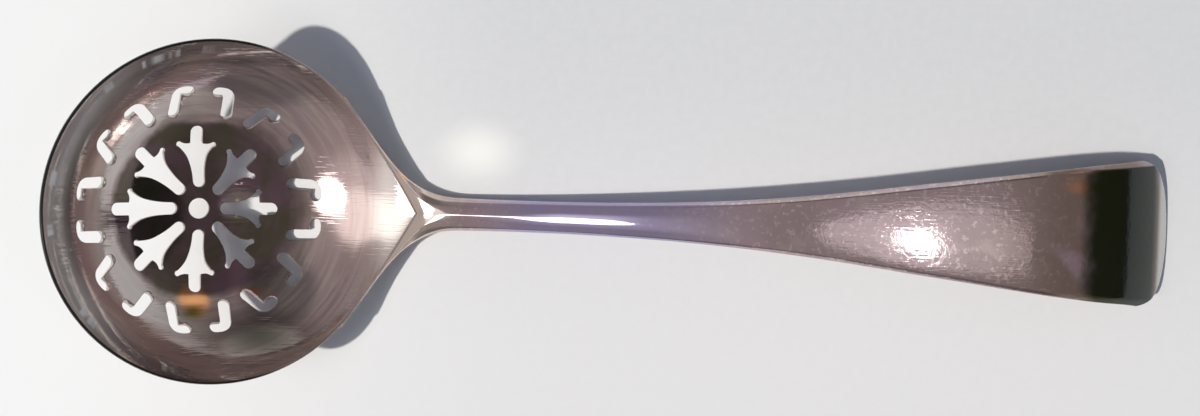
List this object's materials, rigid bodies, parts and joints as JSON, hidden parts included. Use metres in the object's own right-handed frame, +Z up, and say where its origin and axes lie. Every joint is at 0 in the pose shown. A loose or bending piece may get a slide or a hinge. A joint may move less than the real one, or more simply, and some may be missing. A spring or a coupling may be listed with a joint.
{
  "type": "sifter spoon",
  "caption": "Silver sifter spoon: round pierced bowl soldered into the forked neck of an arched handle with a broad turned-down end.",
  "frame": {"origin": "the worn spot under the bowl on which the spoon rests on the table", "axes": "+X along the spoon towards the end of the handle, +Y to the left seen from the bowl, +Z up from the table"},
  "size_m": [0.1523, 0.0482, 0.03],
  "materials": {
    "bowl_silver": "polished silver with a warm toned tarnish and fine scratches",
    "handle_silver": "polished silver, finely scratched by handling",
    "solder": "hard silver solder, duller than the silver beside it"
  },
  "bodies": {
    "root": {"pierced_bowl": "bowl_silver", "forked_handle": "handle_silver", "solder_seam": "solder"}
  },
  "joints": []
}
